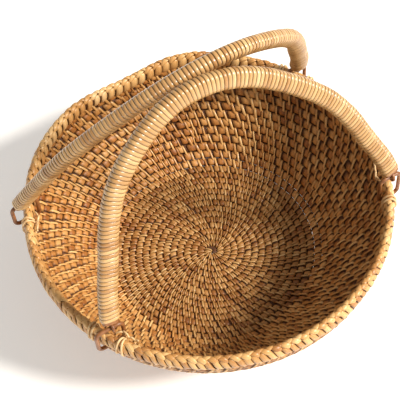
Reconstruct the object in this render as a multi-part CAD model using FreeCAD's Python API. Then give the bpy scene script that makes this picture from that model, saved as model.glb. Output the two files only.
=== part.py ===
import FreeCAD, Part
import math
import os

# Coiled rattan basket with two swinging handles. Millimetres, +Z up.
# Origin: centre of the bottom on the table. +X runs along the handle axes, from the left feet to
# the right feet. The near handle is on the -Y side, the far handle on the +Y side.

# ---------------------------------------------------------------- driving dimensions
cane_thickness = 5.5          # thickness of the coiled floor and wall
floor_radius = 92.0           # flat coiled floor, out to the start of the turn-up
floor_rise = 1.8              # the floor is slightly dished at its edge

# inner face of the wall from the floor to the rim: (radius, height above the table)
wall_profile = [(92.2, 7.3), (100.0, 11.0), (106.0, 16.0), (117.0, 28.5), (127.5, 40.5),
                (137.5, 52.0), (146.5, 64.0), (151.0, 74.0), (152.8, 82.3)]

# top of the border above the table at equal steps round the rim, starting at +X (hand-made wave)
rim_heights = [97.5, 98.0, 100.0, 105.5, 98.5, 106.0, 108.0, 99.5,
               99.0, 99.0, 100.0, 99.5, 97.5, 97.0, 94.5, 96.0]
rim_nominal = 98.5
border_radius = 155.5         # radius of the middle of the plaited border
border_dent = 3.5             # the far side of the border is pressed in a little at its middle
border_dent_spread = 20.0     # degrees
border_half_width = 4.5
border_half_height = 8.0

hinge_y = 72.5                # both hinge lines, to each side of the middle
hinge_z = 106.0
handle_height = 163.5         # hinge line to the middle of the handle's crown, along the handle
handle_lean = 23.3            # degrees that each handle leans inwards at rest
near_feet = (-131.5, 139.5)   # x of the left and right eye of the near handle
far_feet = (-143.0, 138.0)
near_lopsided = -0.11         # how much higher the right shoulder stands than the left one
far_lopsided = 0.2
# shape of a handle as fractions of its half span and its height
handle_shape = [(1.0, 0.035), (0.965, 0.16), (0.88, 0.33), (0.81, 0.50), (0.685, 0.685), (0.45, 0.86),
                (0.235, 0.965), (0.0, 1.0)]

wrap_half_wide = 8.3          # in the plane of the handle
wrap_half_thick = 6.3
wrap_thickness = 1.1
wrap_corner = 4.6
core_play = 0.2

eye_wire = 1.3                # cane of the small eye at each end of a handle
eye_radius = 3.7              # middle of the eye's cane to the hinge line
eye_shank = 11.0
ring_wire = 1.8               # cane of the rings through the border
ring_half_width = 9.0
ring_corner = 5.0
ring_below_border = 2.6
slot_play = 0.5               # room in the wall's last coil round each ring and tie
tie_wire = 0.8                # thin cord tied round the border beside each ring
tie_clear = 0.5
tie_step = 4.5                # degrees between a ring and its ties


# ---------------------------------------------------------------- helpers
def rim_top(angle):
    """Height of the border's top at an angle in degrees: a closed smooth curve through rim_heights."""
    count = len(rim_heights)
    place = (angle % 360.0) / 360.0 * count
    first = int(math.floor(place))
    t = place - first
    p0 = rim_heights[(first - 1) % count]
    p1 = rim_heights[first % count]
    p2 = rim_heights[(first + 1) % count]
    p3 = rim_heights[(first + 2) % count]
    slope1 = (p2 - p0) / 2.0
    slope2 = (p3 - p1) / 2.0
    a = 2 * t ** 3 - 3 * t ** 2 + 1
    b = t ** 3 - 2 * t ** 2 + t
    c = -2 * t ** 3 + 3 * t ** 2
    d = t ** 3 - t ** 2
    return a * p1 + b * slope1 + c * p2 + d * slope2


def dent(angle):
    """How far the rim is pressed in at an angle in degrees."""
    off = (angle % 360.0 - 90.0) / border_dent_spread
    return border_dent * math.exp(-off * off)


def ring_curve(radius, height, dent_share):
    """Closed smooth wire round Z; height is a function of the angle in degrees."""
    points = []
    for step in range(64):
        angle = step * 360.0 / 64
        rad = math.radians(angle)
        out = radius - dent_share * dent(angle)
        points.append(FreeCAD.Vector(out * math.cos(rad), out * math.sin(rad), height(angle)))
    curve = Part.BSplineCurve()
    curve.interpolate(points, True)
    return Part.Wire([curve.toShape()])


def ring_solid(wires):
    """Closed solid whose skin runs through the closed wires in turn and back to the first."""
    faces = []
    for here, there in zip(wires, wires[1:] + wires[:1]):
        faces += Part.makeRuledSurface(here, there).Faces
    shell = Part.makeShell(faces)
    shell.sewShape()
    solid = Part.makeSolid(shell)
    if solid.Volume < 0:
        solid.reverse()
    return solid


def rounded_route(points):
    """Straight runs joined by the largest tangent arcs that the runs leave room for."""
    edges = []
    last = points[0]
    for before, corner, after in zip(points, points[1:], points[2:]):
        u = (before - corner).normalize()
        v = (after - corner).normalize()
        turn = math.pi - math.acos(max(-1.0, min(1.0, u.dot(v))))
        room = 0.45 * min((before - corner).Length, (after - corner).Length)
        start = corner + u * room
        end = corner + v * room
        radius = room / math.tan(turn / 2)
        bisector = (u + v).normalize()
        middle = corner + bisector * (radius / math.cos(turn / 2) - radius)
        edges.append(Part.LineSegment(last, start).toShape())
        edges.append(Part.Arc(start, middle, end).toShape())
        last = end
    edges.append(Part.LineSegment(last, points[-1]).toShape())
    return Part.Wire(edges)


def closed_route(centre, across, up, half_across, half_up, corner):
    """Rounded rectangle wire about a centre, in the plane of the two directions."""
    def at(a, b):
        return centre + across * a + up * b
    k = corner * (1 - math.sqrt(0.5))
    w = half_across
    h = half_up
    edges = []
    for sa, sb, flip in ((1, 1, False), (-1, 1, True), (-1, -1, False), (1, -1, True)):
        side = at(sa * w, sb * (h - corner))
        bend = at(sa * (w - k), sb * (h - k))
        top = at(sa * (w - corner), sb * h)
        if flip:
            side, top = top, side
        edges.append(Part.Arc(side, bend, top).toShape())
    straight = []
    for here, there in zip(edges, edges[1:] + edges[:1]):
        straight.append(Part.LineSegment(here.valueAt(here.LastParameter),
                                         there.valueAt(there.FirstParameter)).toShape())
    ordered = []
    for arc, line in zip(edges, straight):
        ordered += [arc, line]
    return Part.Wire(ordered)


def cane_loop(route, radius):
    """Round cane bent along a closed route."""
    edge = route.Edges[0]
    start = edge.valueAt(edge.FirstParameter)
    tangent = edge.tangentAt(edge.FirstParameter)
    section = Part.Wire([Part.makeCircle(radius, start, tangent)])
    return route.makePipeShell([section], True, False)


def slot(centre, across, wire, bottom):
    """Block that opens the wall's last coil where a ring or a tie goes under the border."""
    width = 2 * (wire + slot_play)
    block = Part.makeBox(36, width, 14, FreeCAD.Vector(-18, -width / 2, 0))
    turn = math.degrees(math.atan2(across.y, across.x))
    block.rotate(FreeCAD.Vector(0, 0, 0), FreeCAD.Vector(0, 0, 1), turn)
    block.translate(FreeCAD.Vector(centre.x, centre.y, bottom - wire - slot_play))
    return block


def handle_points(feet, lopsided):
    """Centre line of a handle in its own upright plane: x along the hinge line, z up from it."""
    half = (feet[1] - feet[0]) / 2.0
    middle = (feet[1] + feet[0]) / 2.0
    left = []
    right = []
    for across, up in handle_shape:
        height = up * handle_height
        left.append(FreeCAD.Vector(middle - half * across, 0, height * (1 - lopsided * across)))
        right.append(FreeCAD.Vector(middle + half * across, 0, height * (1 + lopsided * across)))
    return left + right[-2::-1]


def bar_section(route, half_wide, half_thick, corner):
    """Rounded rectangle across the start of a handle's route; half_wide lies in the XZ plane."""
    edge = route.Edges[0]
    start = edge.valueAt(edge.FirstParameter)
    tangent = edge.tangentAt(edge.FirstParameter)
    thick = FreeCAD.Vector(0, 1, 0)
    wide = thick.cross(tangent).normalize()
    return closed_route(start, wide, thick, half_wide, half_thick, corner)


def bar(route, half_wide, half_thick, corner):
    return route.makePipeShell([bar_section(route, half_wide, half_thick, corner)], True, False)


def eye(foot, core_end):
    """Small cane eye round the hinge line, with a shank that goes up into the handle's core."""
    centre = FreeCAD.Vector(foot, 0, 0)
    ring = Part.makeTorus(eye_radius, eye_wire, centre, FreeCAD.Vector(1, 0, 0))
    up = (core_end - centre).normalize()
    shank = Part.makeCylinder(eye_wire, eye_shank, centre + up * eye_radius, up)
    return ring.fuse(shank).removeSplitter()


def place_handle(shape, side):
    """Lean a handle inwards and set it on its hinge line; side is -1 for near, +1 for far."""
    shape = shape.copy()
    shape.rotate(FreeCAD.Vector(0, 0, 0), FreeCAD.Vector(1, 0, 0), side * handle_lean)
    shape.translate(FreeCAD.Vector(0, side * hinge_y, hinge_z))
    return shape


# ---------------------------------------------------------------- floor and wall
def wall_offset(index):
    """Outer face of the wall at a station of wall_profile, square to the inner face."""
    before = wall_profile[max(index - 1, 0)]
    after = wall_profile[min(index + 1, len(wall_profile) - 1)]
    run = after[0] - before[0]
    rise = after[1] - before[1]
    length = math.hypot(run, rise)
    here = wall_profile[index]
    return (here[0] + rise / length * cane_thickness, here[1] - run / length * cane_thickness)


def wall_ring(radius, height):
    """Ring of the wall: level at the floor, and following the rim's wave and dent at the top."""
    share = min(1.0, height / wall_top) ** 2

    def at(angle):
        return height + share * (rim_top(angle) - rim_nominal)
    return ring_curve(radius, at, share)


floor_outline = Part.makePolygon([
    FreeCAD.Vector(0, 0, 0), FreeCAD.Vector(floor_radius - 4, 0, 0), FreeCAD.Vector(floor_radius, 0, 1.6),
    FreeCAD.Vector(floor_radius, 0, cane_thickness + floor_rise),
    FreeCAD.Vector(floor_radius - 22, 0, cane_thickness + 0.4), FreeCAD.Vector(0, 0, cane_thickness),
    FreeCAD.Vector(0, 0, 0)])
coiled_floor = Part.Face(floor_outline).revolve(FreeCAD.Vector(0, 0, 0), FreeCAD.Vector(0, 0, 1), 360)

wall_top = wall_profile[-1][1]
inner_rings = [wall_ring(radius, height) for radius, height in wall_profile]
outer_rings = []
for index in range(len(wall_profile)):
    radius, height = wall_offset(index)
    if index == 0:
        radius, height = wall_profile[0][0], 1.6
    if index == len(wall_profile) - 1:
        height = wall_top
    outer_rings.append(wall_ring(radius, height))
coiled_wall = ring_solid(inner_rings + outer_rings[::-1])

border_rings = []
for step in range(12):
    turn = math.radians(step * 30.0)
    radius = border_radius + border_half_width * math.cos(turn)
    drop = border_half_height * (1 - math.sin(turn))
    border_rings.append(ring_curve(radius, lambda angle, drop=drop: rim_top(angle) - drop, 1.0))
plaited_border = ring_solid(border_rings)

# ---------------------------------------------------------------- rings and ties at the four feet
feet = {
    "near_left": (near_feet[0], -1),
    "near_right": (near_feet[1], -1),
    "far_left": (far_feet[0], 1),
    "far_right": (far_feet[1], 1),
}
rings = {}
ties = {}
slots = []
for name, (foot, side) in feet.items():
    outwards = 1 if foot > 0 else -1
    angle = math.degrees(math.atan2(side * hinge_y, outwards * math.sqrt(border_radius ** 2 - hinge_y ** 2)))
    border_x = border_radius * math.cos(math.radians(angle))
    middle_x = (border_x + foot) / 2.0
    bottom = rim_top(angle) - 2 * border_half_height - ring_below_border
    centre = FreeCAD.Vector(middle_x, side * hinge_y, (hinge_z + bottom) / 2.0)
    half_width = ring_half_width + abs(border_x - foot) / 2.0
    route = closed_route(centre, FreeCAD.Vector(1, 0, 0), FreeCAD.Vector(0, 0, 1),
                         half_width, (hinge_z - bottom) / 2.0, ring_corner)
    rings[name] = cane_loop(route, ring_wire)
    slots.append(slot(centre, FreeCAD.Vector(1, 0, 0), ring_wire, bottom))
    loops = []
    for step in (-tie_step, tie_step):
        at = angle + step
        radial = FreeCAD.Vector(math.cos(math.radians(at)), math.sin(math.radians(at)), 0)
        middle = radial * border_radius
        middle.z = rim_top(at) - border_half_height
        tie_route = closed_route(middle, radial, FreeCAD.Vector(0, 0, 1),
                                 border_half_width + tie_clear + tie_wire,
                                 border_half_height + tie_clear + tie_wire, 4.0)
        loops.append(cane_loop(tie_route, tie_wire))
        tie_bottom = middle.z - border_half_height - tie_clear - tie_wire
        slots.append(slot(middle, radial, tie_wire, tie_bottom))
    ties[name] = Part.makeCompound(loops)

for gap in slots:
    coiled_wall = coiled_wall.cut(gap)

# ---------------------------------------------------------------- handles
nodes = {
    "coiled_floor": coiled_floor,
    "coiled_wall": coiled_wall,
    "plaited_border": plaited_border,
}
for name in feet:
    nodes[name + "_ring"] = rings[name]
    nodes[name + "_ties"] = ties[name]

for name, feet_x, lopsided, side in (("near", near_feet, near_lopsided, -1),
                                     ("far", far_feet, far_lopsided, 1)):
    points = handle_points(feet_x, lopsided)
    route = rounded_route(points)
    outer = bar(route, wrap_half_wide, wrap_half_thick, wrap_corner)
    inner = bar(route, wrap_half_wide - wrap_thickness, wrap_half_thick - wrap_thickness,
                wrap_corner - wrap_thickness)
    core = bar(route, wrap_half_wide - wrap_thickness - core_play,
               wrap_half_thick - wrap_thickness - core_play, wrap_corner - wrap_thickness - core_play)
    wrap = outer.cut(inner)
    left_eye = eye(feet_x[0], points[0])
    right_eye = eye(feet_x[1], points[-1])
    for end in (left_eye, right_eye):
        core = core.cut(end)
    nodes[name + "_handle_core"] = place_handle(core, side)
    nodes[name + "_handle_wrap"] = place_handle(wrap, side)
    nodes[name + "_left_eye"] = place_handle(left_eye, side)
    nodes[name + "_right_eye"] = place_handle(right_eye, side)

# ---------------------------------------------------------------- write the solids
os.makedirs("parts", exist_ok=True)
for name, shape in nodes.items():
    shape.exportStep("parts/" + name + ".step")
    print(name, "solids", len(shape.Solids), "valid", shape.isValid(), "volume", round(shape.Volume))
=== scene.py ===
import math

import bpy
import numpy as np
from mathutils import Matrix, Vector


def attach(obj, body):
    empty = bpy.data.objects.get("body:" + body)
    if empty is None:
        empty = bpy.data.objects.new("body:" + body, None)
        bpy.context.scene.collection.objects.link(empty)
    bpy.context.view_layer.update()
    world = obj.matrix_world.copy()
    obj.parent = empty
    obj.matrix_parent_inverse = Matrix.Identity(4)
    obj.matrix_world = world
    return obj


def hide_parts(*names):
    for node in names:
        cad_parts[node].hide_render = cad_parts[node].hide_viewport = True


# Coiled rattan basket with two wrapped swinging handles. Metres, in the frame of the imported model.

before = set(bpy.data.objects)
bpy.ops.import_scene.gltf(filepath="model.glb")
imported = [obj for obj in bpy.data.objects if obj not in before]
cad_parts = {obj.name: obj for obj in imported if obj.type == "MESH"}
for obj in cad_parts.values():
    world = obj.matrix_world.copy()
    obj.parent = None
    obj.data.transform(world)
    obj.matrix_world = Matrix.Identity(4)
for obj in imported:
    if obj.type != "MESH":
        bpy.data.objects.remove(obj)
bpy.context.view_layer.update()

MM = 0.001
rng = np.random.default_rng(7)

# ---------------------------------------------------------------- driving dimensions
CANE_THICKNESS = 5.5 * MM
# inner face of the basket from the middle of the floor to the rim: (radius, height)
INNER_FACE = [(0, 5.5), (50, 5.5), (75, 6.0), (92.2, 7.3), (100, 11), (106, 16), (117, 28.5),
              (127.5, 40.5), (137.5, 52), (146.5, 64), (151, 74), (152.8, 82.3), (153.0, 92)]
WALL_TOP = 82.3 * MM
RIM_NOMINAL = 98.5 * MM
FLOOR_ROW = 6.35 * MM            # width of a coil row on the floor
WALL_ROW = 7.75 * MM             # and up the wall
TURN_UP = 101 * MM               # length along the inner face where the rows get wider
ROW_BLEND = 16 * MM              # length over which they do
ROW_PHASE = 0.345                # row at turn 0, which is on the +X side
FIRST_TURN = 0.40                # turn of the first stitch
CORE_START = -0.28               # turn where the cane core starts
LAST_HEIGHT = 89.5 * MM          # height at which the coil ends, inside the border
FLOOR_EDGE = 93 * MM             # radius where the wall's piece takes over from the floor's
HIGH_WALL = 132 * MM             # radius where the wall's stitches go on in a second piece
CORE_WIDE = 0.54                 # half width of the core, in rows
CORE_THICK = 0.78                # thickness of the core, in cane thicknesses
CORE_STEPS = 66                  # points of the core in one turn

FLOOR_STITCH = 4.9 * MM          # distance between stitches on the floor
WALL_STITCHES = 91.5             # stitches in one turn of the wall
MIDDLE_RADIUS = 24 * MM          # inside this the stitches close up
MIDDLE_STITCH = 0.62             # to this share of the distance at the very middle
STITCH_UNEVEN = 0.10
LOOP_POINTS = 14                 # points round one stitch

WALL_STITCH_FROM = 80 * MM       # radius where stitches start to take the wall's sizes
WALL_STITCH_BLEND = 25 * MM      # width over which they do
PAD_LIFT_UNEVEN = 0.10
STRIP_LIFT = 0.7                 # height of a strip over the cane, in millimetres
STRIP_LIFT_UNEVEN = 0.2

# A stitch's sizes: centre and half length in rows; lean, shift and half width in stitch distances.
# The first four are (on the floor, what the wall adds, how uneven, which row of random numbers).
PAD = {
    "centre": (0.0, 0.0, 0.03, 0),
    "rows": (0.425, 0.0, 0.025, 1),
    "lean": (0.08, 0.0, 0.06, 2),
    "width": (0.30, 0.04, 0.03, 3),
    "shift": 0.14,
    "under": 2.15 * MM,          # how far it reaches from the coil's middle to the outside
    "thick": 0.55 * MM,
    "power": 0.54,               # how square the loop is: 1 is an oval
}
STRIP = {
    "centre": (-0.13, -0.11, 0.04, 4),
    "rows": (0.51, 0.18, 0.05, 5),
    "lean": (0.16, 0.02, 0.06, 0),
    "width": (0.165, -0.05, 0.02, 1),
    "shift": -0.36,
    "under": 2.4 * MM,
    "thick": 0.6 * MM,
    "power": 0.55,
}

BORDER_RADIUS = 155.5 * MM
BORDER_HALF_WIDTH = 4.5 * MM
BORDER_HALF_HEIGHT = 8.0 * MM
BORDER_CORE_HALF = (3.6 * MM, 6.9 * MM)
BORDER_POINTS = 10               # points along a strip
BORDER_UNEVEN = {"place": 0.06, "angle": 0.05, "swell": 0.25 * MM, "width": 0.08}
BORDER_ARCH = 0.6                # how soon a strip's ends rise: 1 is a sine, less is sooner
BORDER_END_WIDTH = 0.72          # width of a strip's ends, as a share of its middle
RIM_PLACES = 90                  # places round the rim where its height and radius are read
# Strips over the border's oval: how many, from and to which angle of it (0 outwards, 90 up), how far
# each slides along the rim, half width, thickness, how deep its ends sink, place of the first one.
BORDER_STRIPS = {
    "border_outer_strips": (158, -84, 66, -8.5 * MM, 2.7 * MM, 0.8 * MM, 1.3 * MM, 0.0),
    "border_inner_pads": (116, 255, 118, -3.5 * MM, 3.8 * MM, 1.0 * MM, 1.5 * MM, 0.2),
    "border_plait_outer": (116, 36, 104, -7.5 * MM, 2.5 * MM, 1.0 * MM, 1.7 * MM, 0.0),
    "border_plait_inner": (116, 146, 78, -7.5 * MM, 2.5 * MM, 1.0 * MM, 1.7 * MM, 0.5),
}

HINGE_Y = 72.5 * MM
HINGE_Z = 106.0 * MM
HANDLE_HEIGHT = 163.5 * MM
HANDLE_LEAN = math.radians(23.3)
HANDLE_SHAPE = [(1.0, 0.035), (0.965, 0.16), (0.88, 0.33), (0.81, 0.50), (0.685, 0.685), (0.45, 0.86),
                (0.235, 0.965), (0.0, 1.0)]
HANDLES = {
    "near_handle": {"feet": (-131.5 * MM, 139.5 * MM), "lopsided": -0.11, "side": -1},
    "far_handle": {"feet": (-143.0 * MM, 138.0 * MM), "lopsided": 0.2, "side": 1},
}
WRAP_HALF_WIDE = 8.3 * MM
WRAP_HALF_THICK = 6.3 * MM
HANDLE_POINTS = 400              # points along a handle's centre line
WRAP_PITCH = 3.45 * MM
WRAP_END = 0.6                   # turns left off at each end of a handle
WRAP_POINTS = 22                 # points in one turn
WRAP_POWER = 0.72                # how square the wrap's section is: 1 is an oval
WRAP_DEEP = 0.35 * MM            # from the outside of the wrap to the middle of the peel
WRAP_HALF_STRIP = 0.53           # half width of the peel, in pitches
WRAP_THICK = 0.62 * MM
WRAP_WAVES = ((0.012, 0.21), (0.008, 0.57))     # size of a wave in the width, radians in a millimetre

TIE_STEP = 4.5 / 360             # turns between a ring and the ties beside it
TIE_RADIUS = 0.95 * MM
TIE_GAP = 1.5 * MM               # from the border's oval to the middle of a tie
TIE_START = -140                 # angle of the border's oval where a tie starts, in degrees
TIE_TURN = 31                    # degrees between its points
TIE_POINTS = 15
TIE_LEAN = 0.004                 # how far along the rim a tie goes in one loop, in turns
TIE_RISE = 0.03                  # how much a tie stands off and dips again, as a share of the oval
BESIDE_STEP = 0.0034             # the same for the second cord of a tie, and its place
BESIDE_LEAN = -0.005
BESIDE_RISE = 0.05
KNOT_HEIGHT = 0.55               # height of the knot on the border, in half heights
KNOT_THIN = 0.9
# knot at a ring: along the rim, in from the border and up, in millimetres
KNOT = [(-7, 0, 1), (-4, 2, 3), (-1, 3, 1), (0, 2, -2), (-3, 3, -1), (-2, 3.5, 3), (2, 2.5, 3),
        (4, 1.5, -0.5), (7, 2, 1.5), (10, 1, 0), (13, 1.5, 2)]


# ---------------------------------------------------------------- curves and frames
def smooth_path(points, count):
    """Points evenly spaced along a quadratic B-spline through the middles of the given runs."""
    points = np.array(points, float)
    dense = [points[0][None]]
    t = np.linspace(0, 1, 24)[1:, None]
    start = points[0]
    for i in range(1, len(points) - 1):
        end = (points[i] + points[i + 1]) / 2
        dense.append((1 - t) ** 2 * start + 2 * t * (1 - t) * points[i] + t ** 2 * end)
        start = end
    dense.append(start + t * (points[-1] - start))
    return resample(np.concatenate(dense), count)


def resample(line, count):
    steps = np.linalg.norm(np.diff(line, axis=0), axis=1)
    length = np.concatenate([[0], np.cumsum(steps)])
    at = np.linspace(0, length[-1], count)
    return np.stack([np.interp(at, length, line[:, k]) for k in range(line.shape[1])], axis=1)


def unit(v):
    return v / np.maximum(np.linalg.norm(v, axis=-1, keepdims=True), 1e-12)


def path_length(line):
    return float(np.linalg.norm(np.diff(line, axis=0), axis=1).sum())


def node_points(name):
    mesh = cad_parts[name].data
    out = np.empty(len(mesh.vertices) * 3)
    mesh.vertices.foreach_get("co", out)
    return out.reshape(-1, 3)


class Rim:
    """The rim's wave and dent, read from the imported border."""
    def __init__(self):
        points = node_points("plaited_border")
        angle = np.arctan2(points[:, 1], points[:, 0])
        radius = np.hypot(points[:, 0], points[:, 1])
        count = RIM_PLACES
        slot = ((angle / (2 * math.pi)) % 1.0 * count).astype(int) % count
        self.at = (np.arange(count) + 0.5) / count
        self.top = np.array([points[slot == k, 2].max() for k in range(count)])
        self.out = np.array([radius[slot == k].max() for k in range(count)]) - BORDER_HALF_WIDTH

    def height(self, turn):
        return np.interp(turn % 1.0, self.at, self.top, period=1.0)

    def radius(self, turn):
        return np.interp(turn % 1.0, self.at, self.out, period=1.0)


rim = Rim()


class Coil:
    """The spiral of the coil: a place on it for every number of turns from the middle."""
    def __init__(self):
        face = smooth_path([(r * MM, z * MM) for r, z in INNER_FACE], 1200)
        run = np.gradient(face, axis=0)
        along = unit(run)
        outwards = np.stack([along[:, 1], -along[:, 0]], axis=1)
        self.face = face + outwards * CANE_THICKNESS / 2
        self.along = along
        length = np.concatenate([[0], np.cumsum(np.linalg.norm(np.diff(face, axis=0), axis=1))])
        blend = np.clip((length - TURN_UP + ROW_BLEND / 2) / ROW_BLEND, 0, 1)
        self.pitch = FLOOR_ROW + (WALL_ROW - FLOOR_ROW) * blend
        steps = np.diff(length) / ((self.pitch[1:] + self.pitch[:-1]) / 2)
        self.row = np.concatenate([[0], np.cumsum(steps)])
        inside = face[:, 1] < LAST_HEIGHT
        self.last_turn = self.row[inside][-1] - ROW_PHASE

    def at(self, turn, offset=0.0):
        """The place at a turn: its centre, the directions out along the wall, in towards the middle and
        round the basket, the row's width and the radius."""
        row = np.clip(turn + ROW_PHASE + offset, 0.02, self.row[-1])
        radius = np.interp(row, self.row, self.face[:, 0])
        height = np.interp(row, self.row, self.face[:, 1])
        run = np.interp(row, self.row, self.along[:, 0])
        rise = np.interp(row, self.row, self.along[:, 1])
        pitch = np.interp(row, self.row, self.pitch)
        share = np.clip(height / WALL_TOP, 0, 1) ** 2
        radius = radius + share * (rim.radius(turn) - BORDER_RADIUS)
        height = height + share * (rim.height(turn) - RIM_NOMINAL)
        angle = 2 * math.pi * turn
        c, s = np.cos(angle), np.sin(angle)
        zero = np.zeros_like(c)
        centre = np.stack([radius * c, radius * s, height], axis=-1)
        out = np.stack([run * c, run * s, rise], axis=-1)
        inward = np.stack([-rise * c, -rise * s, run], axis=-1)
        round_ = np.stack([-s, c, zero], axis=-1)
        return centre, out, inward, round_, pitch, radius


coil = Coil()


# ---------------------------------------------------------------- meshes
# Sections of a strip: across it from -1 to 1, and through it. A crowned or a flat one is 1 thick, so its
# half_thick is the whole thickness; the round one is 2 thick.
CROWN = np.array([(-1.0, -0.55), (-0.72, 0.25), (0.0, 0.5), (0.72, 0.25), (1.0, -0.55), (0.0, -0.7)])
FLAT = np.array([(-1.0, -0.5), (-0.82, 0.32), (0.0, 0.5), (0.82, 0.32), (1.0, -0.5), (0.0, -0.6)])
ROUND = np.array([(math.cos(a), math.sin(a)) for a in np.arange(8) * math.pi / 4])


def make_mesh(name, verts, faces, strip):
    mesh = bpy.data.meshes.new(name)
    mesh.vertices.add(len(verts))
    mesh.vertices.foreach_set("co", np.asarray(verts, np.float32).ravel())
    sizes = np.concatenate([np.full(len(f), f.shape[1]) for f in faces])
    mesh.loops.add(int(sizes.sum()))
    mesh.loops.foreach_set("vertex_index", np.concatenate([f.ravel() for f in faces]).astype(np.int32))
    mesh.polygons.add(len(sizes))
    starts = np.concatenate([[0], np.cumsum(sizes)[:-1]])
    mesh.polygons.foreach_set("loop_start", starts.astype(np.int32))
    mesh.polygons.foreach_set("loop_total", sizes.astype(np.int32))
    mesh.update(calc_edges=True)
    mesh.validate()
    layer = mesh.attributes.new("strip", "FLOAT_VECTOR", "POINT")
    layer.data.foreach_set("vector", np.asarray(strip, np.float32).ravel())
    mesh.polygons.foreach_set("use_smooth", np.ones(len(mesh.polygons), bool))
    piece = bpy.data.objects.new(name, mesh)
    bpy.context.scene.collection.objects.link(piece)
    return piece


def bands(name, centre, side, up, half_width, half_thick, section=CROWN, closed=False):
    """Strips of peel. centre, side and up are (strips, points, 3); the sizes are (strips, points).

    The attribute "strip" holds the place along a strip and across it in millimetres, and its number.
    """
    count, points = centre.shape[:2]
    around = len(section)
    half_width = np.broadcast_to(half_width, (count, points))
    half_thick = np.broadcast_to(half_thick, (count, points))
    a = section[:, 0][None, None, :, None]
    b = section[:, 1][None, None, :, None]
    verts = (centre[:, :, None] + side[:, :, None] * a * half_width[:, :, None, None]
             + up[:, :, None] * b * half_thick[:, :, None, None])
    step = np.linalg.norm(np.diff(centre, axis=1), axis=2)
    along = np.concatenate([np.zeros((count, 1)), np.cumsum(step, axis=1)], axis=1) / MM
    strip = np.zeros(verts.shape)
    strip[..., 0] = along[:, :, None]
    strip[..., 1] = section[:, 0][None, None] * half_width[:, :, None] / MM
    strip[..., 2] = np.arange(count)[:, None, None] + 0.5
    index = np.arange(count * points * around).reshape(count, points, around)
    here = index if closed else index[:, :-1]
    there = np.roll(index, -1, axis=1) if closed else index[:, 1:]
    quads = np.stack([here, np.roll(here, -1, axis=2), np.roll(there, -1, axis=2), there], axis=-1)
    faces = [quads.reshape(-1, 4)[:, ::-1]]
    if not closed:
        faces.append(index[:, 0])
        faces.append(index[:, -1, ::-1])
    return make_mesh(name, verts.reshape(-1, 3), faces, strip.reshape(-1, 3))


def rounded(value, power):
    return np.sign(value) * np.abs(value) ** power


# ---------------------------------------------------------------- the coil's stitches
def stitch_places():
    """Turns at which the stitches sit: each goes between two stitches of the row inside it."""
    places = [FIRST_TURN]
    below = 0
    while places[-1] < coil.last_turn:
        last = places[-1]
        radius = float(coil.at(np.array(last))[5])
        target = max(FLOOR_STITCH, 2 * math.pi * radius / WALL_STITCHES)
        if radius < MIDDLE_RADIUS:
            target = FLOOR_STITCH * (MIDDLE_STITCH + (1 - MIDDLE_STITCH) * radius / MIDDLE_RADIUS)
        target = target / (2 * math.pi * radius)
        nearest = last + 0.55 * target
        while below + 1 < len(places) and (places[below] + places[below + 1]) / 2 + 1 < nearest:
            below += 1
        if below + 1 < len(places) and last > FIRST_TURN + 1:
            gap = (places[below] + places[below + 1]) / 2 + 1 - last
            parts = max(1, round(gap / target))
            step = gap / parts
        else:
            step = target
        places.append(last + step * (1 + STITCH_UNEVEN * rng.uniform(-1, 1)))
    return np.array(places)


def stitch_loops(turns, spacing, sizes, kind, lift):
    """Closed loops of peel round the coil. Sizes along the wall are in rows, round it in spacings."""
    middle = sizes["centre"][:, None]
    half_rows = sizes["rows"][:, None]
    phi = (np.arange(LOOP_POINTS) + 0.5) * 2 * math.pi / LOOP_POINTS
    across_rows = middle + half_rows * rounded(np.cos(phi), kind["power"])[None]
    tilt = (across_rows - middle) / half_rows
    front = np.sin(phi)[None] > 0
    level = rounded(np.sin(phi), kind["power"])[None] * np.where(front, lift[:, None], kind["under"])
    radius = coil.at(turns)[5]
    arc = spacing[:, None] * (kind["shift"] + sizes["lean"][:, None] * tilt)
    local = turns[:, None] + arc / (2 * math.pi * radius[:, None])
    # the row offset is taken at the same spiral row, so the turn's own growth is taken out again
    centre, out, inward, _, _, _ = coil.at(local, across_rows - (local - turns[:, None]))
    points = centre + inward * level[..., None]
    forward = unit(np.roll(points, -1, axis=1) - np.roll(points, 1, axis=1))
    facing = out * (np.cos(phi) * 0.8)[None, :, None] + inward * np.sin(phi)[None, :, None]
    side = unit(np.cross(forward, facing))
    up = unit(np.cross(side, forward))
    return points, side, up


def stitch_sizes(kind, on_wall, wobble):
    sizes = {}
    for name in ("centre", "rows", "lean", "width"):
        floor, wall, uneven, row = kind[name]
        sizes[name] = floor + wall * on_wall + uneven * wobble[row]
    return sizes


def build_stitches(name, chosen, turns, spacing, sizes, kind, lift, section):
    here = {part: values[chosen] for part, values in sizes.items()}
    points, side, up = stitch_loops(turns[chosen], spacing[chosen], here, kind, lift[chosen])
    width = (spacing[chosen] * here["width"])[:, None]
    return bands(name, points, side, up, width, kind["thick"], section, closed=True)


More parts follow.
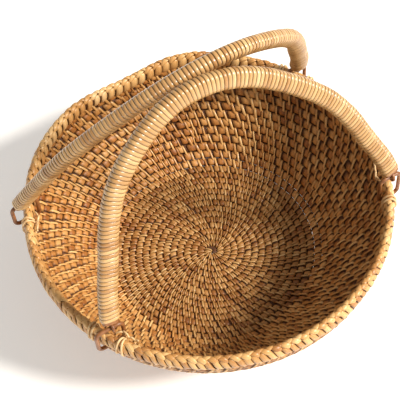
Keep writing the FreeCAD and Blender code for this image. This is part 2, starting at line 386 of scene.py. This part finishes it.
def build_weave():
    """The stitches in three groups, and the cane core in two."""
    turns = stitch_places()
    radius = coil.at(turns)[5]
    spacing = np.diff(turns, append=2 * turns[-1] - turns[-2]) * 2 * math.pi * radius
    wobble = rng.uniform(-1, 1, (6, len(turns)))
    on_wall = np.clip((radius - WALL_STITCH_FROM) / WALL_STITCH_BLEND, 0, 1)
    pad_sizes = stitch_sizes(PAD, on_wall, wobble)
    strip_sizes = stitch_sizes(STRIP, on_wall, wobble)
    pad_lift = CANE_THICKNESS / 2 * (1.0 + PAD_LIFT_UNEVEN * wobble[3])
    strip_lift = CANE_THICKNESS / 2 + (STRIP_LIFT + STRIP_LIFT_UNEVEN * wobble[2]) * MM

    floor = radius < FLOOR_EDGE
    groups = {"floor": floor, "wall_low": ~floor & (radius < HIGH_WALL), "wall_high": radius >= HIGH_WALL}
    pieces = []
    for group, chosen in groups.items():
        pads = build_stitches(group + "_pads", chosen, turns, spacing, pad_sizes, PAD, pad_lift, FLAT)
        strips = build_stitches(group + "_strips", chosen, turns, spacing, strip_sizes, STRIP, strip_lift,
                                CROWN)
        pieces.append((group, pads, strips))

    edge = turns[floor][-1]
    cores = {}
    for name, first, last in (("floor", CORE_START, edge), ("wall", edge, coil.last_turn)):
        lengths = np.linspace(first, last, int((last - first) * CORE_STEPS))
        centre, out, inward, _, pitch, _ = coil.at(lengths)
        half = (pitch * CORE_WIDE)[None]
        cores[name] = bands(name + "_core", centre[None], out[None], inward[None], half,
                            CANE_THICKNESS / 2 * CORE_THICK, ROUND)
    return pieces, cores


# ---------------------------------------------------------------- the plaited border
def border_frame(turn):
    angle = 2 * math.pi * turn
    c, s = np.cos(angle), np.sin(angle)
    zero = np.zeros_like(c)
    radius = rim.radius(turn)
    centre = np.stack([radius * c, radius * s, rim.height(turn) - BORDER_HALF_HEIGHT], axis=-1)
    out = np.stack([c, s, zero], axis=-1)
    round_ = np.stack([-s, c, zero], axis=-1)
    return centre, out, round_


def border_strips(name, count, first, last, slide, half_width, thick, sink, phase):
    """Strips over the border's oval from one angle of it to another, sliding along the rim."""
    t = np.linspace(0, 1, BORDER_POINTS)
    start = (np.arange(count) + phase + BORDER_UNEVEN["place"] * rng.uniform(-1, 1, count)) / count
    phi = np.radians(first + (last - first) * t)[None]
    phi = phi + BORDER_UNEVEN["angle"] * rng.uniform(-1, 1, (count, 1))
    arch = np.sin(math.pi * np.clip(t * 0.96 + 0.02, 0, 1))[None] ** BORDER_ARCH
    local = start[:, None] + slide * t[None] / (2 * math.pi * BORDER_RADIUS)
    centre, out, _ = border_frame(local)
    swell = (sink * (arch - 1) + BORDER_UNEVEN["swell"] * rng.uniform(-1, 1, (count, 1)))[..., None]
    radial = np.cos(phi)[..., None]
    upward = np.sin(phi)[..., None]
    up_axis = np.array([0.0, 0.0, 1.0])
    points = (centre + out * radial * (BORDER_HALF_WIDTH + swell)
              + up_axis * upward * (BORDER_HALF_HEIGHT + swell))
    forward = unit(np.gradient(points, axis=1))
    facing = out * radial / BORDER_HALF_WIDTH + up_axis * upward / BORDER_HALF_HEIGHT
    side = unit(np.cross(forward, facing))
    up = unit(np.cross(side, forward))
    width = half_width * (BORDER_END_WIDTH + (1 - BORDER_END_WIDTH) * arch)
    width = width * (1 + BORDER_UNEVEN["width"] * rng.uniform(-1, 1, (count, 1)))
    return bands(name, points, side, up, width, thick, CROWN)


def build_border():
    pieces = [border_strips(name, *facts) for name, facts in BORDER_STRIPS.items()]
    turn = np.linspace(0, 1, 181)[:-1]
    centre, out, _ = border_frame(turn)
    up = np.broadcast_to(np.array([0.0, 0.0, 1.0]), out.shape)
    core = bands("border_core", centre[None], out[None], up[None], *BORDER_CORE_HALF, ROUND, closed=True)
    return pieces, core


# ---------------------------------------------------------------- the handles
def handle_line(feet, lopsided, side):
    """Centre line of a handle at rest and the direction square to its plane."""
    half = (feet[1] - feet[0]) / 2
    middle = (feet[1] + feet[0]) / 2
    left = [(middle - half * a, up * HANDLE_HEIGHT * (1 - lopsided * a)) for a, up in HANDLE_SHAPE]
    right = [(middle + half * a, up * HANDLE_HEIGHT * (1 + lopsided * a)) for a, up in HANDLE_SHAPE]
    flat = smooth_path(left + right[-2::-1], HANDLE_POINTS)
    turn = side * HANDLE_LEAN
    line = np.stack([flat[:, 0], side * HINGE_Y - flat[:, 1] * math.sin(turn),
                     HINGE_Z + flat[:, 1] * math.cos(turn)], axis=1)
    square = np.array([0.0, math.cos(turn), math.sin(turn)])
    return line, square


def build_handle(name, feet, lopsided, side):
    """The peel wound round a handle in one long helix."""
    line, square = handle_line(feet, lopsided, side)
    length = path_length(line)
    turns = length / WRAP_PITCH - 2 * WRAP_END
    t = np.linspace(0, 1, int(turns * WRAP_POINTS))
    place = WRAP_END * WRAP_PITCH + t * (length - 2 * WRAP_END * WRAP_PITCH)
    at = np.linspace(0, length, HANDLE_POINTS)
    centre = np.stack([np.interp(place, at, line[:, k]) for k in range(3)], axis=1)
    tangent = unit(np.stack([np.interp(place, at, np.gradient(line[:, k])) for k in range(3)], axis=1))
    wide = unit(np.cross(square, tangent))
    phi = 2 * math.pi * turns * t
    across = rounded(np.cos(phi), WRAP_POWER)
    over = rounded(np.sin(phi), WRAP_POWER)
    (long_size, long_wave), (short_size, short_wave) = WRAP_WAVES
    wobble = (1 + long_size * np.sin(place / MM * long_wave + side)
              + short_size * np.sin(place / MM * short_wave))
    points = (centre + wide * (across * (WRAP_HALF_WIDE - WRAP_DEEP) * wobble)[:, None]
              + square * (over * (WRAP_HALF_THICK - WRAP_DEEP))[:, None])
    up = unit(wide * (np.cos(phi) / WRAP_HALF_WIDE)[:, None]
              + square[None] * (np.sin(phi) / WRAP_HALF_THICK)[:, None])
    wrap = bands(name + "_peel", points[None], tangent[None], up[None], WRAP_PITCH * WRAP_HALF_STRIP,
                 WRAP_THICK, FLAT)
    # every turn of the helix gets a number of its own, and so a tone
    layer = wrap.data.attributes["strip"]
    values = np.empty(len(layer.data) * 3, np.float32)
    layer.data.foreach_get("vector", values)
    values = values.reshape(-1, len(FLAT), 3)
    values[:, :, 2] = np.floor(phi / (2 * math.pi))[:, None] + 0.5
    layer.data.foreach_set("vector", values.ravel())
    return wrap


# ---------------------------------------------------------------- materials
def material(name, roughness):
    made = bpy.data.materials.new(name)
    made.use_nodes = True
    tree = made.node_tree
    tree.nodes.clear()
    out = tree.nodes.new("ShaderNodeOutputMaterial")
    shader = tree.nodes.new("ShaderNodeBsdfPrincipled")
    shader.inputs["Roughness"].default_value = roughness
    tree.links.new(shader.outputs[0], out.inputs[0])
    return made, tree, shader


def ramp_node(tree, stops):
    node = tree.nodes.new("ShaderNodeValToRGB")
    while len(node.color_ramp.elements) < len(stops):
        node.color_ramp.elements.new(0.5)
    for element, (place, colour) in zip(node.color_ramp.elements, stops):
        element.position = place
        element.color = (*colour, 1.0)
    return node


def maths(tree, kind, a, b):
    node = tree.nodes.new("ShaderNodeMath")
    node.operation = kind
    for socket, value in ((node.inputs[0], a), (node.inputs[1], b)):
        if isinstance(value, (int, float)):
            socket.default_value = value
        else:
            tree.links.new(value, socket)
    return node.outputs[0]


FIBRE_SCALE = (0.12, 2.2, 7.3)   # along the strip, across it and from strip to strip
PATCH_SCALE = 22.0
TONE_SPREAD = 0.62               # how far tones differ from strip to strip
PATCH_SPREAD = 0.45              # and from place to place on the basket
FIBRE_ROUGH = 0.25
PEEL_BUMP = 0.4 * MM


def peel(name, stops, roughness, streaks=0.35, bump=0.4, edge=0.5, coat=0.0, edge_at=(0.7, 2.8)):
    """Split rattan peel: a tone for each strip, long fibres, and painted shade that darkens each strip
    towards its edges, where it meets the next.
    """
    made, tree, shader = material(name, roughness)
    strip = tree.nodes.new("ShaderNodeAttribute")
    strip.attribute_name = "strip"
    split = tree.nodes.new("ShaderNodeSeparateXYZ")
    tree.links.new(strip.outputs["Vector"], split.inputs[0])
    tone = tree.nodes.new("ShaderNodeTexWhiteNoise")
    tone.noise_dimensions = "1D"
    tree.links.new(split.outputs[2], tone.inputs["W"])

    fibre_place = tree.nodes.new("ShaderNodeCombineXYZ")
    for axis, scale in enumerate(FIBRE_SCALE):
        tree.links.new(maths(tree, "MULTIPLY", split.outputs[axis], scale), fibre_place.inputs[axis])
    fibre = tree.nodes.new("ShaderNodeTexNoise")
    fibre.inputs["Scale"].default_value = 1.0
    fibre.inputs["Detail"].default_value = 3.0
    tree.links.new(fibre_place.outputs[0], fibre.inputs["Vector"])

    place = tree.nodes.new("ShaderNodeTexCoord")
    patch = tree.nodes.new("ShaderNodeTexNoise")
    patch.inputs["Scale"].default_value = PATCH_SCALE
    patch.inputs["Detail"].default_value = 2.0
    tree.links.new(place.outputs["Object"], patch.inputs["Vector"])

    spread = maths(tree, "MULTIPLY", tone.outputs["Value"], TONE_SPREAD)
    patches = maths(tree, "MULTIPLY", patch.outputs["Fac"], PATCH_SPREAD)
    fibres = maths(tree, "MULTIPLY", maths(tree, "SUBTRACT", fibre.outputs["Fac"], 0.5), streaks * 2)
    mixed = maths(tree, "ADD", maths(tree, "ADD", spread, patches), fibres)
    ramp = ramp_node(tree, stops)
    tree.links.new(mixed, ramp.inputs[0])

    # painted shade: each strip darkens towards its edges, where it meets its neighbours, as the grooves
    # between them would
    side = maths(tree, "ABSOLUTE", split.outputs[1], 0.0)
    edge_shade = tree.nodes.new("ShaderNodeMapRange")
    edge_shade.inputs["From Min"].default_value = edge_at[0]
    edge_shade.inputs["From Max"].default_value = edge_at[1]
    edge_shade.inputs["To Min"].default_value = 1.0
    edge_shade.inputs["To Max"].default_value = 1.0 - edge
    tree.links.new(side, edge_shade.inputs["Value"])
    shade = tree.nodes.new("ShaderNodeMix")
    shade.data_type = "RGBA"
    shade.blend_type = "MULTIPLY"
    shade.inputs["Factor"].default_value = 1.0
    tree.links.new(ramp.outputs[0], shade.inputs["A"])
    tree.links.new(edge_shade.outputs[0], shade.inputs["B"])
    tree.links.new(shade.outputs["Result"], shader.inputs["Base Color"])

    fibre_rough = maths(tree, "MULTIPLY", fibre.outputs["Fac"], FIBRE_ROUGH)
    rough = maths(tree, "ADD", fibre_rough, roughness - 0.12)
    tree.links.new(rough, shader.inputs["Roughness"])
    bumped = tree.nodes.new("ShaderNodeBump")
    bumped.inputs["Strength"].default_value = bump
    bumped.inputs["Distance"].default_value = PEEL_BUMP
    tree.links.new(fibre.outputs["Fac"], bumped.inputs["Height"])
    tree.links.new(bumped.outputs[0], shader.inputs["Normal"])
    shader.inputs["Coat Weight"].default_value = coat
    shader.inputs["Coat Roughness"].default_value = 0.25
    return made


def cane(name, dark, light, roughness):
    """Round cane without peel: long fibres read from the place in space."""
    made, tree, shader = material(name, roughness)
    place = tree.nodes.new("ShaderNodeTexCoord")
    noise = tree.nodes.new("ShaderNodeTexNoise")
    noise.inputs["Scale"].default_value = 260.0
    noise.inputs["Detail"].default_value = 4.0
    tree.links.new(place.outputs["Object"], noise.inputs["Vector"])
    ramp = ramp_node(tree, [(0.3, dark), (0.7, light)])
    tree.links.new(noise.outputs["Fac"], ramp.inputs[0])
    tree.links.new(ramp.outputs[0], shader.inputs["Base Color"])
    bumped = tree.nodes.new("ShaderNodeBump")
    bumped.inputs["Strength"].default_value = 0.3
    bumped.inputs["Distance"].default_value = 0.0003
    tree.links.new(noise.outputs["Fac"], bumped.inputs["Height"])
    tree.links.new(bumped.outputs[0], shader.inputs["Normal"])
    return made


PAD_TONES = [(0.1, (0.20, 0.052, 0.008)), (0.4, (0.41, 0.160, 0.034)), (0.7, (0.57, 0.275, 0.078)),
             (1.0, (0.70, 0.40, 0.15))]
STRIP_TONES = [(0.1, (0.32, 0.115, 0.024)), (0.4, (0.53, 0.26, 0.075)), (0.75, (0.70, 0.41, 0.15)),
               (1.0, (0.82, 0.56, 0.26))]
BORDER_TONES = [(0.1, (0.32, 0.115, 0.028)), (0.4, (0.56, 0.28, 0.085)), (0.75, (0.73, 0.44, 0.17)),
                (1.0, (0.84, 0.59, 0.30))]
WRAP_TONES = [(0.05, (0.32, 0.135, 0.038)), (0.35, (0.49, 0.26, 0.09)), (0.8, (0.64, 0.395, 0.165)),
              (1.0, (0.80, 0.57, 0.30))]
# painted shade: the floor's pads and strips take the wall's tones times this share, darker for the shade
# that falls on the floor inside the basket
FLOOR_PAINTED_SHADE = 0.76


def tube(name, points, radius):
    """Thin cane along a smooth line through given points."""
    line = smooth_path(points, max(24, len(points) * 8))
    forward = unit(np.gradient(line, axis=0))
    side = [unit(np.cross(forward[0], (0.31, 0.17, 0.93)))]
    for step in forward[1:]:
        side.append(unit(side[-1] - step * np.dot(side[-1], step)))
    side = np.array(side)
    up = np.cross(side, forward)
    return bands(name, line[None], side[None], up[None], radius, radius, ROUND)


def foot_turn(foot, side):
    across = math.sqrt(BORDER_RADIUS ** 2 - HINGE_Y ** 2)
    return math.atan2(side * HINGE_Y, math.copysign(across, foot)) / (2 * math.pi)


def tie_loop(turn, lean, rise):
    """Points of a cord that goes once round the border and a little along it."""
    points = []
    for step in range(TIE_POINTS):
        phi = math.radians(TIE_START + step * TIE_TURN)
        local = np.array([turn + lean * (step / (TIE_POINTS - 1) - 0.5)])
        centre, out, _ = border_frame(local)
        reach = 1.0 + rise * math.sin(step * 2.1)
        points.append(centre[0] + out[0] * math.cos(phi) * (BORDER_HALF_WIDTH + TIE_GAP) * reach
                      + np.array([0, 0, 1]) * math.sin(phi) * (BORDER_HALF_HEIGHT + TIE_GAP) * reach)
    return points


def build_ties(name, foot, side):
    """Two cords tied round the border beside a ring, joined by a knot with two short curled ends."""
    turn = foot_turn(foot, side)
    pieces = []
    for step in (-1, 1):
        at = turn + step * TIE_STEP
        pieces.append(tube(f"{name}_tie_{step + 1}", tie_loop(at, TIE_LEAN * step, TIE_RISE), TIE_RADIUS))
        beside = tie_loop(at + BESIDE_STEP * step, BESIDE_LEAN, BESIDE_RISE)
        pieces.append(tube(f"{name}_tie_double_{step + 1}", beside, TIE_RADIUS))
    centre, out, round_ = border_frame(np.array([turn + TIE_STEP]))
    inner = centre[0] - out[0] * (BORDER_HALF_WIDTH + TIE_GAP)
    inner = inner + np.array([0, 0, BORDER_HALF_HEIGHT * KNOT_HEIGHT])
    knot = [inner + round_[0] * a * MM - out[0] * b * MM + np.array([0, 0, c * MM]) for a, b, c in KNOT]
    pieces.append(tube(f"{name}_tie_knot", knot, TIE_RADIUS * KNOT_THIN))
    return pieces


def dress(piece, body, made, slot, *nodes):
    piece.data.materials.append(made)
    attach(piece, body)
    if nodes:
        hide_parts(*nodes)


def darker(stops, share):
    return [(place, tuple(share * part for part in colour)) for place, colour in stops]


def build_all():
    weave_peels = {}
    # the floor gets a darker copy of the wall's peel: painted shade
    for group, share in (("floor", FLOOR_PAINTED_SHADE), ("wall", 1.0)):
        # edge and edge_at set the painted shade at each strip's edges: the dark gaps between pads and the
        # dark lines between the wrap's turns
        pad = peel(group + "_pad_peel", darker(PAD_TONES, share), 0.48, edge=0.5, edge_at=(1.0, 2.9))
        strip = peel(group + "_strip_peel", darker(STRIP_TONES, share), 0.32, edge=0.3, edge_at=(0.4, 1.6))
        weave_peels[group] = (pad, strip)
    border_peel = peel("border_peel", BORDER_TONES, 0.36, edge=0.35, edge_at=(1.2, 3.6))
    wrap_peel = peel("handle_wrap_peel", WRAP_TONES, 0.30, streaks=0.22, edge=0.68, coat=0.35,
                     edge_at=(1.0, 1.85))
    # the core is cane, but its near-black tone is painted shade: it shows only in the gaps between
    # stitches and under the border, and darkens them as shade would
    core_cane_gap_shade = cane("coil_core_cane", (0.05, 0.015, 0.004), (0.13, 0.045, 0.012), 0.7)
    brown_cane = cane("brown_ring_cane", (0.16, 0.055, 0.018), (0.36, 0.15, 0.05), 0.4)
    tie_cane = cane("pale_tie_cane", (0.60, 0.36, 0.15), (0.82, 0.60, 0.33), 0.5)

    pieces, cores = build_weave()
    for group, pads, strips in pieces:
        part = group.split("_")[0]
        pad_peel, strip_peel = weave_peels[part]
        dress(pads, "basket", pad_peel, "weave", "coiled_" + part)
        dress(strips, "basket", strip_peel, "weave", "coiled_" + part)
    dress(cores["floor"], "basket", core_cane_gap_shade, "weave", "coiled_floor")
    dress(cores["wall"], "basket", core_cane_gap_shade, "weave", "coiled_wall")

    border, core = build_border()
    for piece in border:
        dress(piece, "basket", border_peel, "border", "plaited_border")
    dress(core, "basket", core_cane_gap_shade, "border", "plaited_border")

    for name, facts in HANDLES.items():
        wrap = build_handle(name, facts["feet"], facts["lopsided"], facts["side"])
        dress(wrap, name, wrap_peel, "handle_peel", name + "_wrap")

    for body, facts in HANDLES.items():
        for end, foot in zip(("left", "right"), facts["feet"]):
            name = body.split("_")[0] + "_" + end
            for piece in build_ties(name, foot, facts["side"]):
                dress(piece, "basket", tie_cane, "pale_cord", name + "_ties")

    for name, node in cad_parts.items():
        if name.endswith(("_ring", "_eye", "_core")):
            node.data.materials.clear()
            node.data.materials.append(brown_cane)


# ---------------------------------------------------------------- stage, lights and camera
FLOOR_HALF = 30
FLOOR_GLOW = 0.32                # keeps the floor pale in the soft light
SKY_STRENGTH = 0.38
KEY_AZIMUTH = -44                # degrees from +X, and up from the floor
KEY_ELEVATION = 40
KEY_STRENGTH = 5.3
KEY_SOFTNESS = 13


def build_floor():
    made, _, shader = material("studio_floor", 0.7)
    shader.inputs["Base Color"].default_value = (0.93, 0.93, 0.93, 1.0)
    shader.inputs["Emission Color"].default_value = (1.0, 0.99, 0.97, 1.0)
    shader.inputs["Emission Strength"].default_value = FLOOR_GLOW
    mesh = bpy.data.meshes.new("studio_floor")
    corners = [(x * FLOOR_HALF, y * FLOOR_HALF, 0) for x, y in ((-1, -1), (1, -1), (1, 1), (-1, 1))]
    mesh.from_pydata(corners, [], [(0, 1, 2, 3)])
    mesh.materials.append(made)
    floor = bpy.data.objects.new("studio_floor", mesh)
    bpy.context.scene.collection.objects.link(floor)


def add_sun(name, azimuth, elevation, strength, softness, colour):
    light = bpy.data.lights.new(name, "SUN")
    light.energy = strength
    light.angle = math.radians(softness)
    light.color = colour
    lamp = bpy.data.objects.new(name, light)
    az, el = math.radians(azimuth), math.radians(elevation)
    towards = Vector((math.cos(az) * math.cos(el), math.sin(az) * math.cos(el), math.sin(el)))
    lamp.rotation_euler = towards.to_track_quat("Z", "Y").to_euler()
    bpy.context.scene.collection.objects.link(lamp)


def build_lights():
    world = bpy.data.worlds.new("studio")
    world.use_nodes = True
    background = world.node_tree.nodes["Background"]
    background.inputs["Color"].default_value = (1.0, 0.95, 0.88, 1.0)
    background.inputs["Strength"].default_value = SKY_STRENGTH
    bpy.context.scene.world = world
    add_sun("key", KEY_AZIMUTH, KEY_ELEVATION, KEY_STRENGTH, KEY_SOFTNESS, (1.0, 0.94, 0.86))
    bpy.context.scene.view_settings.view_transform = "Standard"


CAMERA_PLACE = Vector((-0.2519, -0.4975, 0.9283))
CAMERA_AIM = Vector((0.0058, 0.0280, 0.05))
CAMERA_ROLL = math.radians(-5.34)
CAMERA_LENS = 104.6


def build_camera():
    data = bpy.data.cameras.new("camera")
    data.lens = CAMERA_LENS
    data.sensor_width = 36.0
    camera = bpy.data.objects.new("camera", data)
    turn = (CAMERA_AIM - CAMERA_PLACE).to_track_quat("-Z", "Y").to_matrix().to_4x4()
    camera.matrix_world = Matrix.Translation(CAMERA_PLACE) @ turn @ Matrix.Rotation(CAMERA_ROLL, 4, "Z")
    bpy.context.scene.collection.objects.link(camera)
    bpy.context.scene.camera = camera


build_camera()
build_all()
build_floor()
build_lights()
